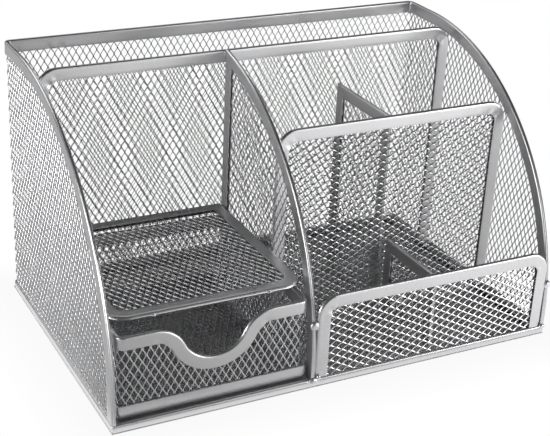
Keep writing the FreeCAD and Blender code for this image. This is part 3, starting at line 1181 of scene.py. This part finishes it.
def painted_ground_light(pale, across, back, away):
    """How bright the ground looks to a mirror ray: painted light and shade in the floor's glow."""
    # Painted light and shade: brighter to the right, brightest near the object, dimmed behind it.
    most = pale.math("MINIMUM", GROUND_MIDDLE + across * GROUND_SLOPE, GROUND_MOST)
    lit = pale.math("MAXIMUM", most, GROUND_LEAST)
    close = pale.math("MINIMUM", NEAR_MOST - away * (NEAR_MOST / NEAR_REACH), GROUND_MOST)
    behind = pale.node("ShaderNodeClamp", None, {"Value": back * (1 / DIM_REACH)})
    inward = pale.node("ShaderNodeClamp", None, {"Value": (across + half_width) * (1 / DIM_REACH)})
    return pale.math("MAXIMUM", close, lit) * (1 - behind * inward * DIM_BEHIND)


print("the ground's middle mirrors at", GROUND_MIDDLE)

# %% [markdown]
# A shadow catcher could take the shadow, but the metal would mirror nothing then. So both go into
# one material: a pale shader and a glow, mixed by kind of ray and by distance.

# %% Floor
FLOOR_HALF = 3.0
FLOOR_SHADE = (0.80, 0.80, 0.80, 1)


def make_floor():
    data = bpy.data.meshes.new("floor")
    s = FLOOR_HALF
    data.from_pydata([(-s, -s, 0), (s, -s, 0), (s, s, 0), (-s, s, 0)], [], [(0, 1, 2, 3)])
    floor = bpy.data.objects.new("floor", data)
    bpy.context.scene.collection.objects.link(floor)
    pale = Finish(bpy.data.materials.new("floor_pale"))
    place = pale.node("ShaderNodeTexCoord", output="Object")
    across = pale.node("ShaderNodeSeparateXYZ", None, {"Vector": place}, "X")
    back = pale.node("ShaderNodeSeparateXYZ", None, {"Vector": place}, "Y")
    away = away_from_object(pale, across, back)
    outside = pale.math("GREATER_THAN", away, 0.0)
    glow = pale.math("MINIMUM", outside * GLOW_START + away * ((1 - GLOW_START) / GLOW_REACH), 1.0)
    camera = pale.node("ShaderNodeLightPath", output="Is Camera Ray")
    mirror = pale.node("ShaderNodeLightPath", output="Is Glossy Ray")
    seen = pale.math("MAXIMUM", camera, mirror)
    level = camera + (1 - camera) * painted_ground_light(pale, across, back, away)
    diffuse = pale.node("ShaderNodeBsdfDiffuse", None, {"Color": FLOOR_SHADE})
    white = pale.node("ShaderNodeEmission", None, {"Color": level})
    mixed = pale.node("ShaderNodeMixShader", None, {0: seen * glow, 1: diffuse, 2: white})
    pale.node("ShaderNodeOutputMaterial", None, {"Surface": mixed})
    data.materials.append(pale.owner)
    print("floor", 2 * s, "m wide")


make_floor()

# %% [markdown]
# ## The room
# The camera sees white behind the object. To everything else the room is nearly dark, a touch
# lighter at the horizon, because the light comes from the lamps and the ground. A picture of a
# studio would bring in shapes of its own, so a ramp of two greys does it.

# %% World
SKY = ((0.0, 0.03), (0.20, 0.02))
WHITE = (1, 1, 1, 1)


def make_world():
    room = Finish(bpy.data.worlds.new("studio"))
    bpy.context.scene.world = room.owner
    place = room.node("ShaderNodeTexCoord", output="Generated")
    up = room.node("ShaderNodeSeparateXYZ", None, {"Vector": place}, "Z")
    sky = room.node("ShaderNodeValToRGB", {"stops": SKY}, {0: up})
    camera = room.node("ShaderNodeLightPath", output="Is Camera Ray")
    shade = room.blend(camera, sky, WHITE)
    ground = room.node("ShaderNodeBackground", None, {"Color": shade})
    room.node("ShaderNodeOutputWorld", None, {"Surface": ground})
    print("sky stops", SKY)


make_world()

# %% [markdown]
# ## The lamps
# Satin paint wants wide, soft highlights. A sun would make them hard and thin, so five square area
# lamps look at the middle of the object, most of them from low down.

# %% Lamps
AIM = Vector((0.0, 0.0, 0.05))
LAMPS = (
    # name, place in metres, size in metres, power in watts
    ("key", (0.72, -0.60, 0.15), 0.4, 3.9),
    ("front", (0.45, -0.80, 0.35), 0.5, 1.1),
    ("left", (-0.90, -0.10, 0.15), 0.4, 4.6),
    ("top", (0.20, 0.40, 0.80), 0.5, 0.6),
    ("back", (-0.50, 0.60, 0.60), 0.5, 1.6),
)


def soft_box(name, where, size, power):
    """A square lamp that looks at the object."""
    data = bpy.data.lights.new(name, "AREA")
    data.energy = power
    data.size = size
    lamp = bpy.data.objects.new(name, data)
    lamp.location = where
    lamp.rotation_euler = (AIM - Vector(where)).to_track_quat("-Z", "Y").to_euler()
    bpy.context.scene.collection.objects.link(lamp)


for lamp in LAMPS:
    soft_box(*lamp)
bpy.context.scene.view_settings.view_transform = "Standard"
print("lamps:", len(LAMPS))
